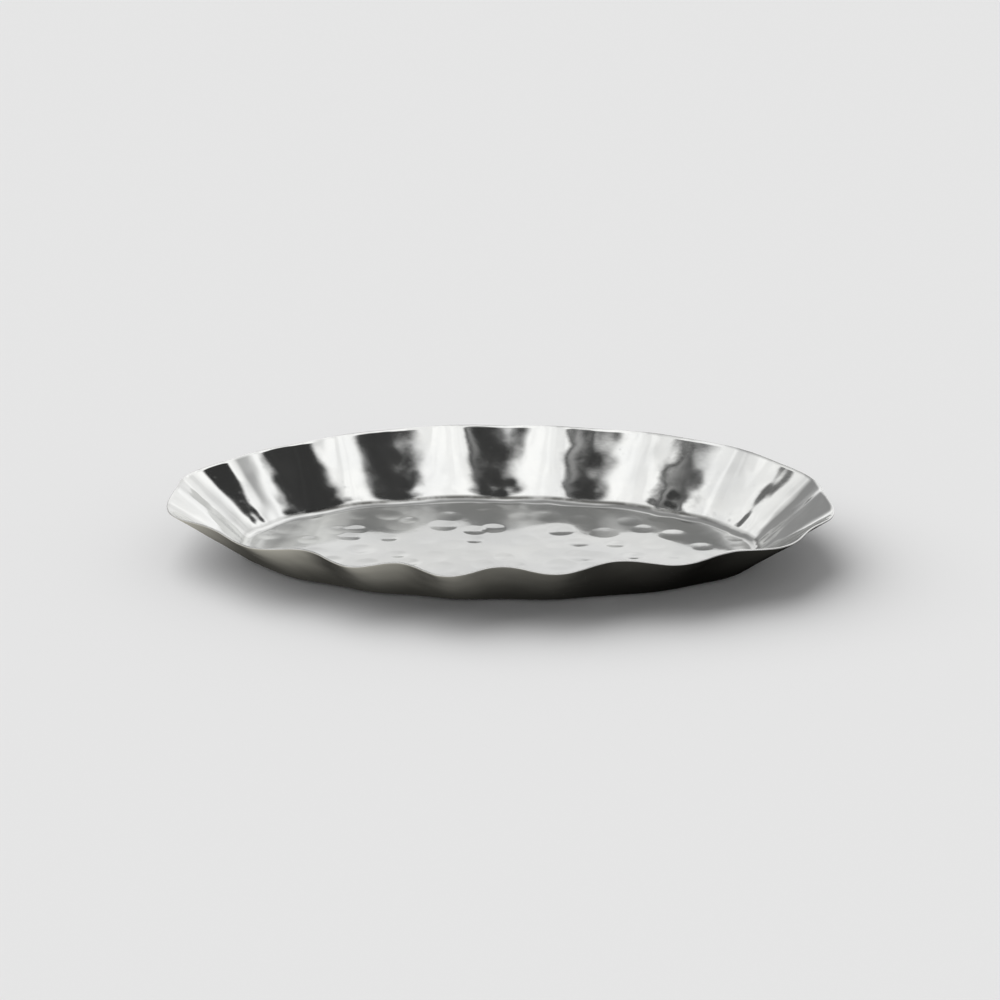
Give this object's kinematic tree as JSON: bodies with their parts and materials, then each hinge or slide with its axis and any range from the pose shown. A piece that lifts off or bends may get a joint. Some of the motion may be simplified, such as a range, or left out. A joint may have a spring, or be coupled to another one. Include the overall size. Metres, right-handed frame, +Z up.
{
  "type": "oval serving tray",
  "caption": "Oval serving tray in polished hammered steel, with a flat floor and a flared, fluted wall ending in a wavy rim.",
  "frame": {"origin": "middle of the flat underside, where the tray stands on the table", "axes": "+Z up, +X along the tray's length, +Y across it"},
  "size_m": [0.43, 0.2721, 0.0413],
  "materials": {
    "polished_steel": "hand-hammered and polished stainless steel, almost a mirror"
  },
  "bodies": {
    "root": {"tray_sheet": "polished_steel"}
  },
  "joints": []
}
